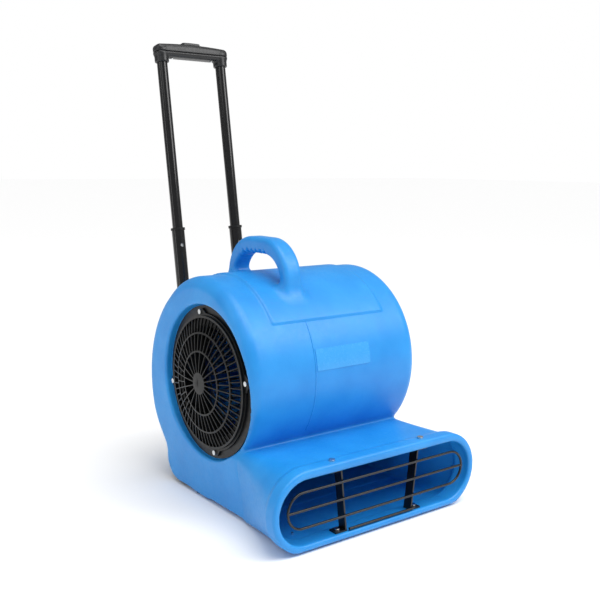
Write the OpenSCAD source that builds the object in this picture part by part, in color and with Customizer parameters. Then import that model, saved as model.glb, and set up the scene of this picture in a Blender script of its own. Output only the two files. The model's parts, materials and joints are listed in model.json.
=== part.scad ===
// Floor air mover: a hollow moulded body with a scroll-shaped drum and a low outlet duct,
// a double-inlet fan wheel driven by a motor in its right eye, guards and an outlet grille,
// rear wheels and a telescoping trolley handle.
// X runs across the drum along the fan's axis, -Y is the blowing direction, +Z is up,
// and the floor is Z = 0.

/* [Body] */
// Width of the outlet lip, the widest part of the body
lip_w = 460; // [450:2:470]
// Height of the top of the outlet lip above the floor
lip_h = 142; // [140:1:144]
// Distance from the fan axis forward to the front of the lip
lip_reach = 274; // [270:1:278]
// Length of the straight collar behind the front of the lip
lip_collar = 46; // [40:1:52]
// Length of the thick bead inside the front of the lip
lip_bead = 24; // [20:1:28]
// Wall thickness of the moulded body
wall = 5; // [4:0.5:5.5]
// Width of the drum between its two side faces
drum_w = 386; // [380:1:392]
// Radius of the drum's front half
drum_r = 175; // [174:1:176]
// Radius of the scroll that forms the drum's rear half
scroll_r = 213; // [212:1:214]
// Rounding of the drum's outer edges
drum_fillet = 24; // [16:1:26]
// Width of the body at the floor
base_w = 360; // [356:1:364]
// Height of the fan axis above the floor
axis_z = 233; // [231:1:235]
// Clearance between the body's underside and the floor
floor_gap = 4; // [3:0.5:5]

/* [Carry handle] */
// Position of the carry handle and the mould's parting plane across the drum
seam_x = -53; // [-70:1:-40]
// Height of the top of the carry handle above the floor
carry_top = 491; // [486:1:496]
// Length of the carry handle
carry_len = 196; // [190:1:204]
// Thickness of the carry handle across
carry_w = 36; // [30:1:40]

/* [Inlets] */
// Radius of the round inlet in each side face
inlet_r = 143; // [141:1:143]
// Depth of the guard's flange below the side face
guard_depth = 9; // [7:0.5:11]
// Radius of the circle of guard screws
guard_screw_r = 129; // [128:1:131]
// Turn of the guard's screws about the fan axis
guard_turn = 10.5; // [0:0.5:20]
// How far the guard's hub stands out of its flange
guard_dome = 20; // [16:1:22]
// Number of guard ribs in the outer zone; the inner zones have two thirds and one third
guard_ribs = 60; // [24:12:60]

/* [Fan and motor] */
// Outer radius of the fan wheel
wheel_r = 125; // [115:1:128]
// Length of the fan wheel along its axis
wheel_len = 236; // [220:2:240]
// Number of blades in each half of the fan wheel
blades = 40; // [24:2:44]
// Radius of the motor's can
motor_r = 62; // [55:1:66]
// Radius of the motor's shaft
shaft_r = 6; // [5:0.5:7]

/* [Outlet grille] */
// Diameter of the grille's wire
wire_d = 4.4; // [4:0.2:5]
// Height of the grille's middle wire
wire_mid_z = 75; // [72:1:76]
// Spacing of the grille's three wires
wire_gap = 30.5; // [28:0.5:32]
// Length of the wire ring end to end
wire_len = 404; // [390:2:406]

/* [Trolley] */
// Sideways position of the trolley's centre
trolley_x = -5; // [-10:1:0]
// Distance between the two tubes
tube_gap = 143.6; // [140:0.2:148]
// Outer radius of the lower tubes
tube_r = 13.5; // [13:0.5:14]
// Outer radius of the sliding tubes
rod_r = 11; // [10.5:0.1:11]
// Wall thickness of all the tubes
tube_wall = 1.5; // [1:0.1:1.5]
// Backward lean of the trolley
lean = 9.6; // [8:0.1:11]
// Distance from the fan axis back to the lower tubes' top ends
collar_y = 297; // [293:1:301]
// Height of the lower tubes' top ends above the floor
collar_z = 485; // [480:1:490]
// Length of the lower tubes
tube_len = 400; // [395:1:410]
// Height of the extended grip's underside above the lower tubes, along the tubes
reach = 355; // [345:1:360]
// Travel of the handle from fully out to fully in
travel = 335; // [300:5:335]

/* [Wheels and feet] */
// Radius of the transport wheels
trolley_wheel_r = 40; // [36:1:42]
// Width of the transport wheels
trolley_wheel_w = 32; // [26:1:34]
// Radius of the wheels' stub axles
axle_r = 6; // [5:0.5:7]
// Radius of the rubber feet
foot_r = 15; // [12:1:16]

/* [Controls] */
// Position of the control plate across the drum's rear
control_x = 125; // [120:1:127]
// Height angle of the control plate round the scroll
control_angle = 40; // [30:1:50]

/* [Hidden] */
$fn = 96;

blue = "dodgerblue";
black = "dimgray";
steel = "silver";
eps = 0.5;

// Trolley sizes, along the tubes from the lower tubes' top ends.
collar_len = 20;
guide_top = -24;
guide_len = 28;
pin_z = -32;
pin_r = 3.5;
grip_r = 15;
grip_h = 41;
grip_split = reach + 22;
grip_floor = reach + 11;
grip_top = reach + grip_h;
arch_rise = 4;
arch_r = (pow(tube_gap / 2 + grip_r, 2) + pow(arch_rise, 2)) / (2 * arch_rise);
button_len = 43;
button_w = 14;
button_rise = 4.5;
yoke_z = reach + 28;
fit = 0.08;

// The grip's rear and the lip's front are equally far from Y = 0.
boss_top = grip_top - pow(tube_gap / 2, 2) / (2 * arch_r);
grip_back = collar_y + grip_r * cos(lean) + boss_top * sin(lean);
axis_y = (lip_reach - grip_back) / 2;

// Side view of the drum: a front circle and a rear scroll, both measured from the fan axis.
front_y = 20;
front_z = 248.5 - axis_z;
scroll_y = 8;
scroll_z = 209 - axis_z;
half_drum = drum_w / 2;
half_base = base_w / 2;

// Side view of the base, in distance from the fan axis and height above the floor.
base_back = 168;
base_top = 74;
corner_r = 45;
duct_top = 128;
neck_y = -125;
shoulder_z = 130;

// Inlet stack inward from each side face: guard, bell-mouth ring, ledge of the body.
guard_t = 4;
ring_t = 3;
ledge_r = 127;
ledge_x = half_drum - guard_depth - guard_t - ring_t;
guard_x = half_drum - guard_depth;
eye_r = 106;

// Motor, along X from its inner to its outer end.
motor_x0 = 42;
motor_x1 = 152;
end_t = 12;
arm_t = 4;

// Pockets for the transport wheels in the base's rear corners.
pocket_gap = 2.5;
wheel_y = 131;
wheel_z = trolley_wheel_r + 1.5;
wheel_x = half_base - wall - 1 - pocket_gap - trolley_wheel_w / 2;

// Places children about the fan axis, with their +Z turned to +X.
module about_axis() translate([0, axis_y, axis_z]) rotate([0, 90, 0]) children();

// Extrudes a side view, drawn as distance from the fan axis and height, along X.
module across(len) translate([0, axis_y, 0]) rotate([90, 0, 90]) linear_extrude(len, center = true) children();

// Mirrors left-hand children to the right, or leaves them.
module side(s) if (s > 0) mirror([1, 0, 0]) children(); else children();

// Places children in the leaning frame of the trolley.
module trolley() translate([trolley_x, axis_y + collar_y, collar_z]) rotate([-lean, 0, 0]) children();

// Places children on the scroll's rear at an angle above the horizontal, +Z outward.
module on_scroll(x, angle)
    translate([x, axis_y + scroll_y, axis_z + scroll_z]) rotate([angle - 90, 0, 0])
        translate([0, 0, scroll_r]) children();

module tube(r, t, len) difference() {
    cylinder(r = r, h = len);
    translate([0, 0, -eps]) cylinder(r = r - t, h = len + 2 * eps);
}

// Disc with rounded outer edges, centred, along Z.
module round_disc(r, w, f) rotate_extrude() {
    translate([0, -w / 2 + f]) square([r, w - 2 * f]);
    translate([0, -w / 2]) square([r - f, w]);
    intersection() {
        union() for (s = [-1, 1]) translate([r - f, s * (w / 2 - f)]) circle(f);
        translate([0, -w / 2]) square([r + 1, w]);
    }
}

// Level outline with round ends: full width, lowest and highest edge.
module stadium(w, z0, z1) {
    r = (z1 - z0) / 2;
    translate([-w / 2 + r, z0]) square([w - 2 * r, 2 * r]);
    for (s = [-1, 1]) translate([s * (w / 2 - r), z0 + r]) circle(r);
}

// A slab of a front view outline, from y0 back to y1, measured from the fan axis.
module front_slab(y0, y1) translate([0, axis_y + y1, 0]) rotate([90, 0, 0]) linear_extrude(y1 - y0) children();

// ---- Body ----

// Front view of the base: tapered sides, and upper corners rounded by r.
module base_front(t, z1, r) {
    low = base_w / 2 - t;
    high = half_drum - t;
    polygon([[-low, floor_gap + t], [low, floor_gap + t], [high, z1 - r], [-high, z1 - r]]);
    translate([-high + r, z1 - 2 * r]) square([2 * high - 2 * r, 2 * r]);
    for (s = [-1, 1]) translate([s * (high - r), z1 - r]) circle(r, $fn = 32);
}

// The two round parts of the drum, shrunk by t on every side.
module drum_form(t) {
    about_axis() translate([-front_z, front_y, 0]) round_disc(drum_r - t, drum_w - 2 * t, drum_fillet - t);
    intersection() {
        about_axis() translate([-scroll_z, scroll_y, 0])
            round_disc(scroll_r - t, drum_w - 2 * t, drum_fillet - t);
        translate([-250, axis_y + 14, 0]) cube([500, 300, 500]);
    }
}

// The base under the drum, with a round corner at its lower rear edge.
module base_form(t) across(drum_w) {
    polygon([[neck_y, floor_gap + t], [base_back - corner_r, floor_gap + t],
             [base_back - t, floor_gap + corner_r], [base_back - t, base_top], [0, 200],
             [neck_y, duct_top + 4 - t]]);
    intersection() {
        translate([base_back - corner_r, floor_gap + corner_r]) circle(corner_r - t);
        translate([base_back - corner_r, floor_gap + t]) square([corner_r, corner_r]);
    }
}

// The body's solid form without the lip's collar.
module body_form(t) {
    intersection() {
        union() {
            drum_form(t);
            base_form(t);
        }
        front_slab(neck_y - 60, 300) {
            polygon([[-base_w / 2 + t, floor_gap + t], [base_w / 2 - t, floor_gap + t],
                     [half_drum - t, shoulder_z], [half_drum - t, 500],
                     [-half_drum + t, 500], [-half_drum + t, shoulder_z]]);
        }
    }
    // neck between the base and the round-ended lip
    hull() {
        front_slab(neck_y - 1, neck_y + 1) base_front(t, duct_top + 4 - t, 34);
        front_slab(-lip_reach + lip_collar - 1, -lip_reach + lip_collar)
            stadium($fn = 32, lip_w - 2 - 2 * t, floor_gap + t, lip_h - 1 - t);
    }
}

// The lip's straight collar, flat along the floor.
module lip_form(t) intersection() {
    front_slab(-lip_reach + (t == 0 ? 0 : lip_bead), -lip_reach + lip_collar)
        stadium(lip_w - 2 * t, t, lip_h - t);
    translate([-300, -400, floor_gap + t]) cube([600, 800, 300]);
}

mouth_w = lip_w - 28;
mouth_z0 = 15;
mouth_z1 = lip_h - 15;

// Handle's side view about the fan axis: a round arch on straight legs.
module arch(half, top, r) {
    translate([-half, 330 - axis_z]) square([2 * half, top - r + axis_z - 330]);
    translate([-half + r, 330 - axis_z]) square([2 * half - 2 * r, top + axis_z - 330]);
    for (s = [-1, 1]) translate([s * (half - r), top - r]) circle(r);
}

module carry_slice(len) translate([seam_x, axis_y + 12, axis_z]) rotate([90, 0, 90])
    linear_extrude(len, center = true) children();

// Bridge-shaped handle that stands on the drum in the parting plane.
module carry_handle() difference() {
    carry_slice(carry_w) arch(carry_len / 2, carry_top - axis_z, 62);
    carry_slice(carry_w + 2) arch(carry_len / 2 - 22, carry_top - axis_z - 30, 40);
}

// Raised plate over the drum's top, with the scroll's and the drum's curvature.
module top_panel() {
    intersection() {
        about_axis() translate([-front_z, front_y, 0]) cylinder(r = drum_r + 2.5, h = 256, center = true);
        translate([-128, axis_y - 121, 330]) cube([256, 121 + 14, 120]);
    }
    intersection() {
        about_axis() translate([-scroll_z, scroll_y, 0]) cylinder(r = scroll_r + 2.5, h = 256, center = true);
        translate([-128, axis_y + 13, 385]) cube([256, 121, 120]);
    }
}

// Round mouth in each side face, with a cylindrical collar and a ledge for the guard.
module inlet_collar(s) side(s) about_axis() translate([0, 0, -half_drum])
    cylinder(r = inlet_r + wall, h = half_drum - ledge_x + wall);

module inlet_bore(s) side(s) about_axis() translate([0, 0, -half_drum]) {
    translate([0, 0, -20]) cylinder(r = inlet_r, h = 20 + half_drum - ledge_x);
    cylinder(r = ledge_r, h = 60);
}

function screw_angle(i) = 180 - guard_turn + 90 * i;

module at_guard_screws() for (i = [0:3]) rotate(screw_angle(i)) translate([guard_screw_r, 0, 0]) children();

module wheel_pocket(s, grow) {
    w = trolley_wheel_w + 2 * pocket_gap + 2 * grow;
    r = trolley_wheel_r + 5 + grow;
    translate([s * wheel_x - w / 2, axis_y + wheel_y, wheel_z]) rotate([90, 0, 90]) linear_extrude(w) {
        circle(r);
        translate([0, -60]) square([90, 60 + r]);
        translate([-r, -60]) square([r + 10, 60]);
    }
}

module control_pad() on_scroll(control_x, control_angle) translate([-42, -32, -14]) cube([84, 64, 20]);

module housing() color(blue) difference() {
    union() {
        difference() {
            union() {
                body_form(0);
                lip_form(0);
                top_panel();
                control_pad();
                carry_handle();
            }
            body_form(wall);
            lip_form(wall);
        }
        intersection() {
            body_form(0);
            for (s = [-1, 1]) {
                inlet_collar(s);
                wheel_pocket(s, wall - 1);
            }
        }
    }
    front_slab(-lip_reach - 1, -lip_reach + lip_bead + 1) stadium(mouth_w, mouth_z0, mouth_z1);
    for (s = [-1, 1]) {
        inlet_bore(s);
        wheel_pocket(s, 0);
    }
    // seat for the control plate, the hole for the switch behind it, and the gland's hole
    on_scroll(control_x, control_angle) {
        translate([-38, -28, 3]) cube([76, 56, 10]);
        translate([-24, -20, -40]) cube([48, 40, 60]);
    }
    on_scroll(control_x, gland_angle) translate([0, 0, -20]) cylinder(r = gland_r, h = 40);
    guard_screws();
    grille_screws();
    plate_screws();
    foot_screws();
    bracket_screws();
    wheel_axles();
}

// Smooth blank plate on the drum's front, up from the level of the drum's centre.
module blank_label() color("lightskyblue") about_axis() translate([-front_z, front_y, -52])
    rotate(251.5) rotate_extrude(angle = 13) translate([drum_r, 0]) square([0.8, 124]);

// ---- Outlet grille ----

grille_y = axis_y - lip_reach + 4;

module wire(len) rotate([0, 90, 0]) cylinder(d = wire_d, h = len, center = true, $fn = 32);

module outlet_grille() color(black) translate([0, grille_y, wire_mid_z]) {
    straight = wire_len - wire_d - 2 * wire_gap;
    for (s = [-1, 1]) {
        translate([0, 0, s * wire_gap]) wire(straight);
        translate([s * straight / 2, 0, 0]) rotate([90, s * 90, 0])
            rotate_extrude(angle = 180, $fn = 64) translate([wire_gap, 0]) circle(d = wire_d, $fn = 32);
    }
    wire(straight + 2 * wire_gap - 1);
    translate([4, 0, mouth_z0 + 4 - wire_mid_z]) wire(150);
}

strap_y0 = grille_y + wire_d / 2;
strap_w = 18;
strap_t = 3;
strap_top = 87;
strap_low = 74;

// Flat strap bent outward at both ends: its top tab hangs under the duct's roof.
module strap(s) translate([0, strap_y0 + strap_w, 0]) rotate([90, 0, 0]) linear_extrude(strap_w) {
    polygon([[s * strap_low, mouth_z0], [s * (strap_low + strap_t), mouth_z0],
             [s * (strap_top + strap_t), mouth_z1], [s * strap_top, mouth_z1]]);
    translate([min(s * strap_low, s * (strap_low + 24)), mouth_z0]) square([24, strap_t]);
    translate([min(s * strap_top, s * (strap_top + 24)), mouth_z1 - strap_t]) square([24, strap_t]);
}

module strap_with_holes(s) difference() {
    strap(s);
    for (x = [strap_low, strap_top]) translate([s * (x + 15), strap_y0 + strap_w / 2, 0])
        translate([0, 0, x == strap_low ? mouth_z0 - 1 : mouth_z1 - 6]) cylinder(r = 2.2, h = 8);
}

module grille_strap_left() color(black) strap_with_holes(-1);
module grille_strap_right() color(black) strap_with_holes(1);

// Pan-head screw along -Z, its head's underside at Z = 0.
module screw(head_r, head_h, r, len) {
    cylinder(r = head_r, h = head_h);
    translate([0, 0, -len]) cylinder(r = r, h = len + eps);
}

module grille_screws() color(steel) for (s = [-1, 1]) {
    translate([s * (strap_low + 15), strap_y0 + strap_w / 2, mouth_z0 + strap_t]) screw(5, 3, 2.2, 12);
    translate([s * (strap_top + 15), strap_y0 + strap_w / 2, lip_h]) screw(5.5, 3, 2.2, 20);
}

// ---- Inlets ----

// Flange and bell mouth that leads air into the wheel's eye, drawn for the left side.
module bell_mouth() about_axis() translate([0, 0, -ledge_x - ring_t]) rotate_extrude() difference() {
    union() {
        translate([eye_r, 0]) square([inlet_r - 3 - eye_r, ring_t]);
        translate([eye_r - 3, 0]) square([22, 24]);
        translate([eye_r - 3, 0]) square([3, 52]);
    }
    translate([eye_r + 22, ring_t + 21]) circle(21);
    translate([eye_r - 3 - eps, -eps]) square([eps, 80]);
}

module inlet_ring(s) side(s) difference() {
    bell_mouth();
    about_axis() translate([0, 0, -half_drum]) at_guard_screws() cylinder(r = 2.3, h = 40);
}

module inlet_ring_left() color(black) inlet_ring(-1);
module inlet_ring_right() color(black) inlet_ring(1);

guard_zone = [20, 58, 91, 118];
guard_rim = 4;
dome_rise = guard_dome - guard_rim;
dome_r = (pow(guard_zone[3], 2) + pow(dome_rise, 2)) / (2 * dome_rise);
dome_t = 3.5;

module ring_2d(r, t) difference() {
    circle(r + t / 2);
    circle(r - t / 2);
}

module rib_2d(r0, r1, t) translate([r0, -t / 2]) square([r1 - r0, t]);

// Flat pattern of the guard: rings, zones of straight ribs and a closed hub.
module guard_pattern() {
    circle(guard_zone[0]);
    for (z = [1:2]) ring_2d(guard_zone[z], 3);
    for (z = [0:2]) {
        n = guard_ribs * (z + 1) / 3;
        for (i = [0:n - 1]) rotate(i * 360 / n) rib_2d(guard_zone[z] - 1, guard_zone[z + 1] + 2, 1.8);
    }
}

// Domed guard with a raised rim and four screw ears, drawn for the left side.
module guard() about_axis() translate([0, 0, -guard_x]) difference() {
    union() {
        rotate_extrude() translate([guard_zone[3], 0]) {
            square([8, guard_t]);
            translate([0, -guard_rim]) square([4, guard_rim + 1]);
        }
        for (i = [0:3]) rotate(screw_angle(i)) linear_extrude(guard_t)
            polygon([[guard_zone[3] + 2, -22], [guard_zone[3] + 2, 22],
                     [guard_screw_r + 6, 7], [guard_screw_r + 6, -7]]);
        intersection() {
            translate([0, 0, -guard_dome - 5]) linear_extrude(guard_dome + 12) guard_pattern();
            translate([0, 0, dome_r - guard_dome]) difference() {
                sphere(dome_r, $fn = 128);
                sphere(dome_r - dome_t, $fn = 128);
            }
            translate([0, 0, -guard_dome - 5]) cylinder(r = guard_zone[3] + 1, h = guard_dome + 5);
        }
    }
    translate([0, 0, -1]) at_guard_screws() cylinder(r = 2.3, h = 10);
}

module inlet_guard_left() color(black) side(-1) guard();
module inlet_guard_right() color(black) side(1) guard();

module guard_screws() color(steel) for (s = [-1, 1]) side(s) about_axis() translate([0, 0, -guard_x])
    at_guard_screws() rotate([180, 0, 0]) screw(4.5, 3, 2, 16);

// ---- Fan wheel ----

module impeller_disc() color(steel) about_axis() difference() {
    cylinder(r = wheel_r, h = 2, center = true);
    cylinder(r = 22, h = 4, center = true);
}

module impeller_rings() color(steel) about_axis() for (s = [-1, 1])
    translate([0, 0, s * (wheel_len / 2 - 1.5)]) difference() {
        cylinder(r = wheel_r + 2, h = 3, center = true);
        cylinder(r = wheel_r - 19, h = 4, center = true);
    }

// One forward-curved blade: a thin arc between the wheel's inner and outer radius.
module blade_2d() intersection() {
    translate([wheel_r - 9, -14]) ring_2d(15, 1.2);
    translate([wheel_r - 17.5, -14]) square([16.5, 20]);
}

module blade_set(x0, x1) about_axis() translate([0, 0, x0]) linear_extrude(x1 - x0)
    for (i = [0:blades - 1]) rotate(i * 360 / blades) blade_2d();

module impeller_blades_left() color(steel) blade_set(-wheel_len / 2 + 3, -1);
module impeller_blades_right() color(steel) blade_set(1, wheel_len / 2 - 3);

module impeller_hub() color(steel) about_axis() difference() {
    union() {
        translate([0, 0, -8]) cylinder(r = 18, h = 30);
        cylinder(r = 22, h = 2, center = true);
    }
    translate([0, 0, -10]) cylinder(r = shaft_r, h = 40);
    translate([0, 0, 14]) rotate([90, 0, 0]) cylinder(r = 2.5, h = 30);
}

module hub_screw() color(black) about_axis() translate([0, 0, 14]) rotate([90, 0, 0])
    translate([0, 0, shaft_r + 0.2]) cylinder(r = 2.5, h = 10);

module motor_shaft() color(steel) about_axis() translate([0, 0, -14]) cylinder(r = shaft_r, h = motor_x1 + 14 - 4);

// ---- Motor ----

rotor_len = 56;
rotor_x = (motor_x0 + motor_x1) / 2;

module motor_rotor() color(steel) about_axis() translate([0, 0, rotor_x]) difference() {
    cylinder(r = 33, h = rotor_len, center = true);
    cylinder(r = shaft_r, h = rotor_len + 2, center = true);
}

module motor_stator() color("peru") about_axis() translate([0, 0, rotor_x]) difference() {
    cylinder(r = motor_r - 2, h = rotor_len, center = true);
    cylinder(r = 34, h = rotor_len + 2, center = true);
}

module motor_can() color(black) about_axis() translate([0, 0, motor_x0 + end_t])
    tube(motor_r, 2, motor_x1 - motor_x0 - 2 * end_t);

bearing_r = 15;
motor_bolt_r = 38;
bearing_w = 9;

// Shallow cup with a seat for the bearing, open towards the rotor.
module motor_end() difference() {
    cylinder(r = motor_r, h = end_t);
    translate([0, 0, 3]) cylinder(r = motor_r - 6, h = end_t);
    translate([0, 0, -1]) cylinder(r = shaft_r + 1.5, h = end_t);
}

module motor_end_cup() {
    motor_end();
    difference() {
        cylinder(r = bearing_r + 4, h = end_t);
        translate([0, 0, 3]) cylinder(r = bearing_r, h = end_t);
        translate([0, 0, -1]) cylinder(r = shaft_r + 1.5, h = end_t);
    }
}

module motor_end_inner() color(steel) about_axis() translate([0, 0, motor_x0]) motor_end_cup();
module motor_end_outer() color(steel) about_axis() translate([0, 0, motor_x1]) mirror([0, 0, 1]) difference() {
    motor_end_cup();
    for (i = [0:2]) rotate(60 + i * 120) translate([motor_bolt_r, 0, -1]) cylinder(r = 2.5, h = end_t + 2);
}

module motor_bearings() color(steel) about_axis() for (x = [motor_x0 + 3, motor_x1 - 3 - bearing_w])
    translate([0, 0, x]) difference() {
        cylinder(r = bearing_r, h = bearing_w);
        translate([0, 0, -1]) cylinder(r = shaft_r + fit, h = bearing_w + 2);
    }

// Three steel arms from the motor's outer end to the right-hand ring, cranked outward at their ends.
arm_x = motor_x1;
arm_rise = guard_x - arm_x;
arm_w = 20;
module motor_arms() color(black) about_axis() translate([0, 0, arm_x]) difference() {
    union() {
        linear_extrude(arm_t) {
            difference() {
                circle(46);
                circle(20);
            }
            for (i = [0:2]) rotate(60 + i * 120) translate([30, -arm_w / 2]) square([eye_r - 38, arm_w]);
        }
        for (i = [0:2]) rotate(60 + i * 120) translate([eye_r - 12, -arm_w / 2, 0]) {
            cube([arm_t, arm_w, arm_rise]);
            translate([0, 0, arm_rise - arm_t]) cube([22, arm_w, arm_t]);
        }
    }
    for (i = [0:2]) rotate(60 + i * 120) translate([motor_bolt_r, 0, -1]) cylinder(r = 2.5, h = 10);
}

module motor_bolts() color(steel) about_axis() translate([0, 0, arm_x + arm_t])
    for (i = [0:2]) rotate(60 + i * 120) translate([motor_bolt_r, 0, 0]) screw(5, 3.5, 2.5, arm_t + 2.8);

module capacitor() color("gainsboro") on_scroll(control_x - 60, control_angle + 14)
    translate([0, 0, -wall - 18]) rotate([0, 90, 0]) cylinder(r = 17.5, h = 60, center = true);

// ---- Controls ----

module control_plate() color(black) on_scroll(control_x, control_angle) translate([0, 0, 3]) difference() {
    translate([-38, -28, 0]) cube([76, 56, 3]);
    translate([0, 0, -1]) cylinder(r = 6, h = 6);
    for (x = [-1, 1], y = [-1, 1]) translate([x * 32, y * 22, -1]) cylinder(r = 1.6, h = 6);
}

module switch_body() color(black) on_scroll(control_x, control_angle) {
    translate([-20, -17, -33]) cube([40, 34, 36]);
    for (x = [-12, 0, 12]) translate([x - 3, -0.5, -42]) cube([6, 1, 10]);
}

module plate_screws() color(steel) on_scroll(control_x, control_angle) translate([0, 0, 6])
    for (x = [-1, 1], y = [-1, 1]) translate([x * 32, y * 22, 0]) screw(3.2, 2, 1.6, 9);

// Pointer knob on the switch's spindle.
module speed_knob() color(black) on_scroll(control_x, control_angle) translate([0, 0, 6.4]) {
    cylinder(r = 18, h = 4);
    cylinder(r = 15, h = 9);
    translate([-3.5, -15, 0]) cube([7, 30, 17]);
    translate([0, 0, -2.6]) cylinder(r = 5.6, h = 4);
}

gland_angle = -14;
gland_r = 8;

module cable_gland() color(black) on_scroll(control_x, gland_angle) difference() {
    union() {
        translate([0, 0, -16]) cylinder(r = gland_r, h = 20);
        translate([0, 0, -wall - 7]) cylinder(r = 13, h = 6.5, $fn = 6);
        translate([0, 0, 0.5]) cylinder(r = 13, h = 6, $fn = 6);
        translate([0, 0, 6.5]) cylinder(r = 11, h = 10);
    }
    translate([0, 0, -20]) cylinder(r = 4.5, h = 45);
}

// ---- Feet and wheels ----

foot_spots = [[-150, -215], [150, -215], [-158, 60], [158, 60]];

module at_feet() for (p = foot_spots) translate([p[0], axis_y + p[1], 0]) children();

module rubber_feet() color("darkslategray") at_feet() difference() {
    cylinder(r = foot_r, h = floor_gap);
    translate([0, 0, -1]) cylinder(r = 5, h = 2.5);
    translate([0, 0, -1]) cylinder(r = 2, h = 10);
}

module foot_screws() color(steel) at_feet() translate([0, 0, 1.5]) rotate([180, 0, 0]) screw(4.5, 1.2, 2, 12);

module wheel_axles() color(steel) for (s = [-1, 1]) translate([s * wheel_x, axis_y + wheel_y, wheel_z])
    rotate([0, 90, 0]) cylinder(r = axle_r, h = trolley_wheel_w + 2 * pocket_gap + 2 * (wall - 1), center = true);

hub_r = trolley_wheel_r - 9;

module trolley_wheel(s) translate([s * wheel_x, axis_y + wheel_y, wheel_z]) rotate([0, 90, 0]) difference() {
    union() {
        cylinder(r = hub_r, h = trolley_wheel_w - 8, center = true);
        cylinder(r = 13, h = trolley_wheel_w + 3, center = true);
    }
    for (m = [0, 1]) mirror([0, 0, m]) translate([0, 0, 5]) difference() {
        cylinder(r = hub_r - 4, h = 20);
        cylinder(r = 13, h = 20);
    }
    cylinder(r = axle_r + fit, h = trolley_wheel_w + 6, center = true);
}

module tyre(s) translate([s * wheel_x, axis_y + wheel_y, wheel_z]) rotate([0, 90, 0]) difference() {
    round_disc(trolley_wheel_r, trolley_wheel_w, 6);
    cylinder(r = hub_r, h = trolley_wheel_w + 2, center = true);
}

module wheel_left() color(black) trolley_wheel(-1);
module wheel_right() color(black) trolley_wheel(1);
module tyre_left() color("darkslategray") tyre(-1);
module tyre_right() color("darkslategray") tyre(1);

// ---- Trolley: fixed parts ----

// Places children on the centre line of each tube, or of one of them.
module at_tubes(which = [-1, 1]) trolley() for (s = which) translate([s * tube_gap / 2, 0, 0]) children();

upper_z = -235;
lower_z = -365;
bracket_h = 40;
plate_y = -22;

// Cast bracket that sits on the scroll and grips both lower tubes.
module bracket(z) difference() {
    trolley() translate([0, 0, z - bracket_h / 2]) {
        translate([-tube_gap / 2 - 18, -60, 0]) cube([tube_gap + 36, 60 + plate_y, bracket_h]);
        for (s = [-1, 1]) translate([s * tube_gap / 2, 0, 0]) {
            cylinder(r = tube_r + 4.5, h = bracket_h);
            translate([-12, plate_y - 1, 0]) cube([24, -plate_y, bracket_h]);
        }
    }
    at_tubes() translate([0, 0, -tube_len - 50]) cylinder(r = tube_r, h = 600);
    about_axis() translate([-scroll_z, scroll_y, 0]) cylinder(r = scroll_r, h = 400, center = true);
    bracket_screws();
}

module trolley_bracket_upper() color(black) bracket(upper_z);
module trolley_bracket_lower() color(black) bracket(lower_z);

module bracket_screws() color(steel) trolley() for (z = [upper_z, lower_z], s = [-1, 1])
    translate([s * 24, plate_y, z]) rotate([-90, 0, 0]) screw(6, 3.5, 3, 28);

module lower_tube() difference() {
    translate([0, 0, -tube_len]) tube(tube_r, tube_wall, tube_len);
    translate([0, 0, pin_z]) rotate([90, 0, 0]) cylinder(r = pin_r + 0.4, h = 30);
}

module lower_tube_left() color(black) at_tubes([-1]) lower_tube();
module lower_tube_right() color(black) at_tubes([1]) lower_tube();

module tube_collars() color(black) at_tubes() difference() {
    union() {
        translate([0, 0, -collar_len]) cylinder(r = tube_r - tube_wall, h = collar_len);
        cylinder(r = tube_r + 1.5, h = 5);
    }
    translate([0, 0, -collar_len - 1]) cylinder(r = rod_r + fit, h = collar_len + 10);
}

module tube_plugs() color(black) at_tubes() translate([0, 0, -tube_len]) {
    translate([0, 0, -4]) cylinder(r = tube_r, h = 4);
    cylinder(r = tube_r - tube_wall, h = 7);
}

// ---- Trolley: sliding handle ----

module sliding_tube() difference() {
    translate([0, 0, guide_top - guide_len]) tube(rod_r, tube_wall, grip_floor - guide_top + guide_len);
    translate([0, 0, pin_z]) rotate([90, 0, 0]) cylinder(r = pin_r, h = 30);
}

module sliding_tube_left() color(black) at_tubes([-1]) sliding_tube();
module sliding_tube_right() color(black) at_tubes([1]) sliding_tube();

module tube_guides() color(black) at_tubes() difference() {
    translate([0, 0, guide_top - guide_len]) cylinder(r = tube_r - tube_wall - fit, h = guide_len);
    translate([0, 0, guide_top - guide_len - 1]) cylinder(r = rod_r, h = guide_len + 2);
    translate([0, 0, pin_z]) rotate([90, 0, 0]) cylinder(r = pin_r, h = 30);
}

module lock_pins() color(steel) at_tubes() translate([0, 0, pin_z]) rotate([90, 0, 0]) {
    translate([0, 0, 5]) cylinder(r = pin_r, h = tube_r - tube_wall - 5.8);
    translate([0, 0, 3]) cylinder(r = pin_r + 1.5, h = 2.5);
}

// Front view of the grip: two bosses joined by an arched bar.
module grip_outline() {
    half = tube_gap / 2;
    for (s = [-1, 1]) translate([s * half - grip_r, reach]) square([2 * grip_r, 30]);
    intersection() {
        translate([-half - grip_r, grip_floor]) square([tube_gap + 2 * grip_r, 50]);
        translate([0, grip_top - arch_r]) circle(arch_r, $fn = 360);
    }
}

// The grip's solid, rounded in plan view.
module grip_solid() intersection() {
    rotate([90, 0, 0]) linear_extrude(2 * grip_r, center = true) grip_outline();
    linear_extrude(grip_top + 20) {
        for (s = [-1, 1]) translate([s * tube_gap / 2, 0]) circle(grip_r);
        square([tube_gap, 2 * grip_r - 2], center = true);
    }
}

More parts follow.
